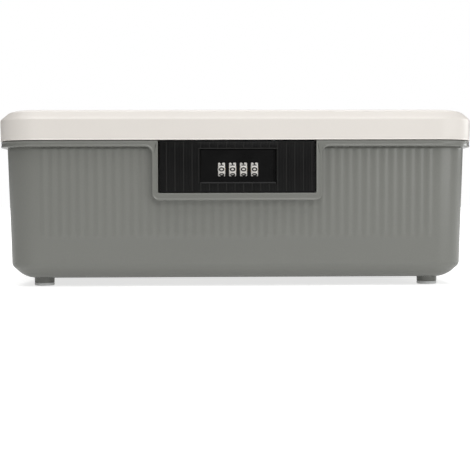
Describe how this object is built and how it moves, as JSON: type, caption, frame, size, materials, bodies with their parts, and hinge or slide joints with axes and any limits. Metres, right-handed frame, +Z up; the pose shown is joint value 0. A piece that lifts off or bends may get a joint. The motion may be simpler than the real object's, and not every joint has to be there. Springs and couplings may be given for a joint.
{
  "type": "combination lock box",
  "caption": "Moulded storage box with a hinged chamfered lid and a front combination lock whose number dials sit in a sliding block.",
  "frame": {"origin": "on the ground under the middle of the closed box", "axes": "+X to the right seen from the front, the front and its lock face -Y, +Z up"},
  "size_m": [0.33, 0.23, 0.123],
  "materials": {
    "tub_grey": "satin moulded",
    "lid_cream": "satin moulded",
    "lock_black": "satin, finely grooved",
    "block_black": "smooth, half gloss",
    "cover_black": "matte moulded",
    "silicone": "milky translucent",
    "dial_white": "smooth",
    "hub_brass": "turned",
    "steel": "zinc plated",
    "spring_steel": "rolled strip",
    "rivet_aluminium": "satin"
  },
  "bodies": {
    "tub": {"base_tub": "tub_grey", "foot_plug_front_left": "silicone", "foot_plug_front_right": "silicone", "foot_plug_rear_left": "silicone", "foot_plug_rear_right": "silicone", "hinge_pin_left": "steel", "hinge_pin_right": "steel", "lock_bezel": "lock_black", "lock_cover": "cover_black", "lock_screws": "steel", "comb_bar": "steel", "comb_rivets": "rivet_aluminium", "slide_detent": "spring_steel"},
    "lid": {"lid_shell": "lid_cream", "lid_hasp": "steel", "hasp_screws": "steel"},
    "dial_carrier": {"dial_block": "block_black", "dial_axle": "steel", "detent_spring": "spring_steel", "lock_bolt": "steel", "bolt_screws": "steel"},
    "dial_1": {"dial_ring_1": "dial_white", "gate_hub_1": "hub_brass"},
    "dial_2": {"dial_ring_2": "dial_white", "gate_hub_2": "hub_brass"},
    "dial_3": {"dial_ring_3": "dial_white", "gate_hub_3": "hub_brass"},
    "dial_4": {"dial_ring_4": "dial_white", "gate_hub_4": "hub_brass"}
  },
  "joints": [
    {"name": "lid_hinge", "type": "hinge", "parent": "tub", "child": "lid", "pos_m": [0, 0.1117, 0.10095], "axis": [-1, 0, 0], "range_deg": [0, 100]},
    {"name": "lock_slide", "type": "slide", "parent": "tub", "child": "dial_carrier", "axis": [1, 0, 0], "range_m": [0, 0.0018]},
    {"name": "dial_1_turn", "type": "hinge", "parent": "dial_carrier", "child": "dial_1", "pos_m": [-0.01065, -0.1076, 0.0809], "axis": [1, 0, 0], "continuous": true},
    {"name": "dial_2_turn", "type": "hinge", "parent": "dial_carrier", "child": "dial_2", "pos_m": [-0.00315, -0.1076, 0.0809], "axis": [1, 0, 0], "continuous": true},
    {"name": "dial_3_turn", "type": "hinge", "parent": "dial_carrier", "child": "dial_3", "pos_m": [0.00435, -0.1076, 0.0809], "axis": [1, 0, 0], "continuous": true},
    {"name": "dial_4_turn", "type": "hinge", "parent": "dial_carrier", "child": "dial_4", "pos_m": [0.01185, -0.1076, 0.0809], "axis": [1, 0, 0], "continuous": true}
  ]
}
